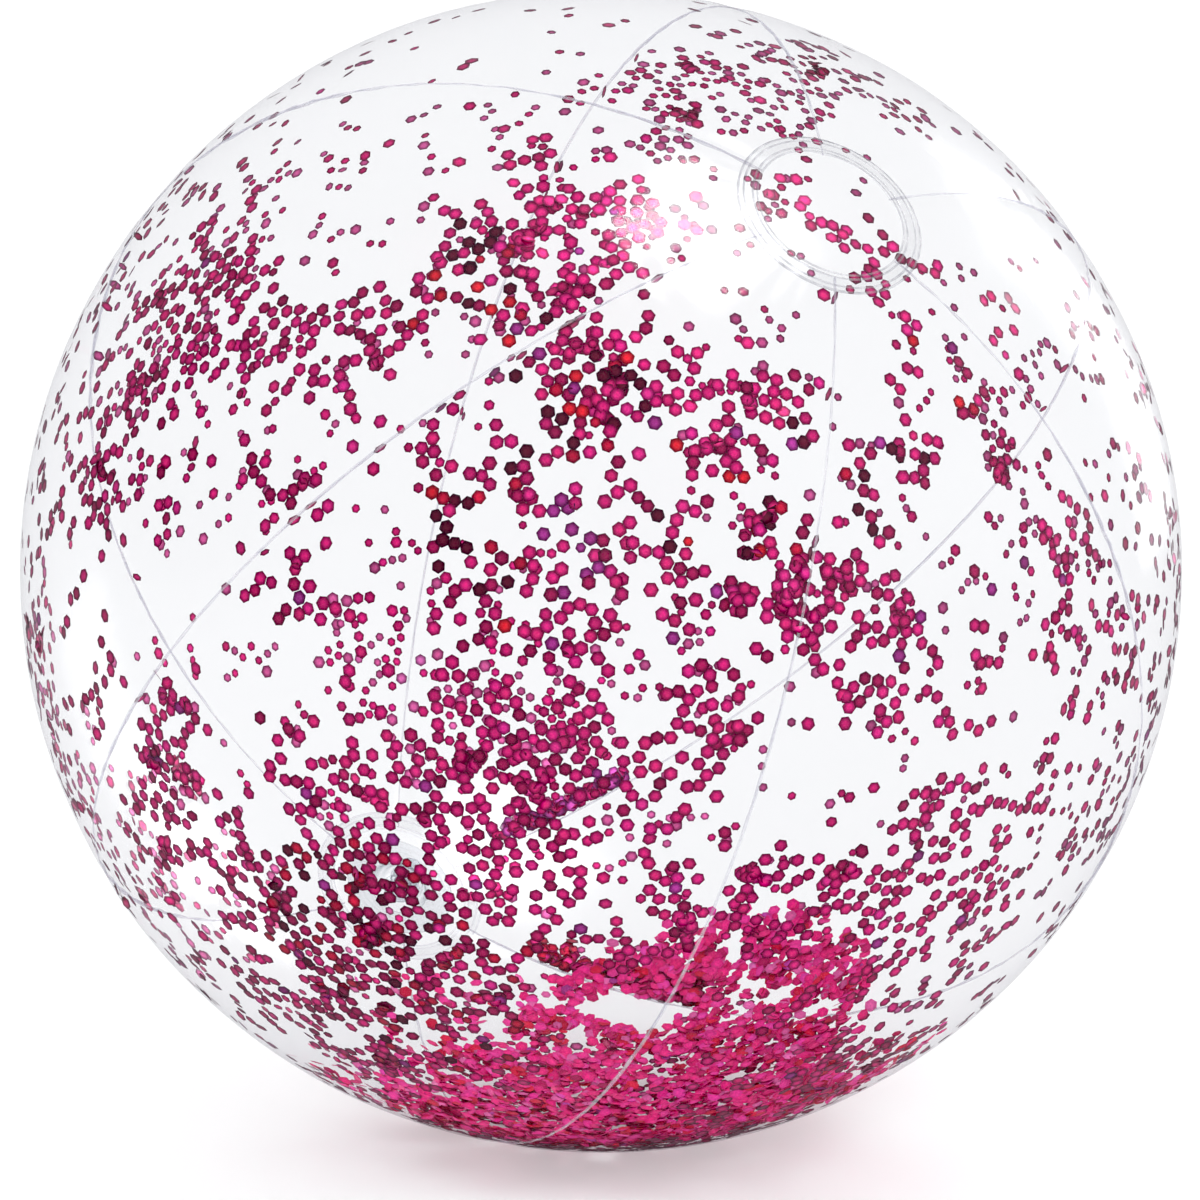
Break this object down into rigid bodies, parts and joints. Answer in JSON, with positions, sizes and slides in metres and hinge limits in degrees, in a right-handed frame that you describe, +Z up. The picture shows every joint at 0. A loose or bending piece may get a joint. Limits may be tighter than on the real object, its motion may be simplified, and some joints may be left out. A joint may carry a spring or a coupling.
{
  "type": "inflatable beach ball",
  "caption": "Clear film ball of welded gores with round end caps, a push-in air valve and loose metallic glitter inside.",
  "frame": {"origin": "middle of the small flat patch that the inflated ball rests on", "axes": "+Z up from the floor; the wall's pole axis lies in the YZ plane, leaning 45 degrees from +Z toward -Y; the valve is at the lower pole, on the +Y side"},
  "size_m": [0.5096, 0.5099, 0.5084],
  "materials": {
    "clear_film": "clear glossy soft PVC film",
    "clear_valve": "clear satin moulded soft PVC",
    "magenta_glitter": "metallised magenta foil flakes"
  },
  "bodies": {
    "shell": {"panel_1": "clear_film", "panel_2": "clear_film", "panel_3": "clear_film", "panel_4": "clear_film", "panel_5": "clear_film", "panel_6": "clear_film", "upper_end_cap": "clear_film", "lower_end_cap": "clear_film", "valve_flange": "clear_valve", "valve_collar": "clear_valve"},
    "valve": {"valve_stem": "clear_valve"},
    "plug": {"valve_plug": "clear_valve", "plug_strap": "clear_valve"},
    "flap": {"check_flap": "clear_valve"},
    "glitter": {"glitter_heap": "magenta_glitter"}
  },
  "joints": [
    {"name": "valve_pop", "type": "slide", "parent": "shell", "child": "valve", "axis": [0, 0.7071, -0.7071], "range_m": [0, 0.012], "deforming": ["valve_collar"]},
    {"name": "plug_swing", "type": "hinge", "parent": "valve", "child": "plug", "pos_m": [0.0112, 0.18095, 0.07251], "axis": [0, -0.7071, -0.7071], "range_deg": [0, 150]},
    {"name": "flap_swing", "type": "hinge", "parent": "valve", "child": "flap", "pos_m": [-0.006, 0.16787, 0.08559], "axis": [0, -0.7071, -0.7071], "range_deg": [0, 60], "stiffness_Nm_per_rad": 0.0002, "springref_deg": -11.46},
    {"name": "glitter_rock", "type": "hinge", "parent": "shell", "child": "glitter", "pos_m": [0, 0, 0.25346], "axis": [0, 1, 0], "range_deg": [-35, 35]}
  ]
}
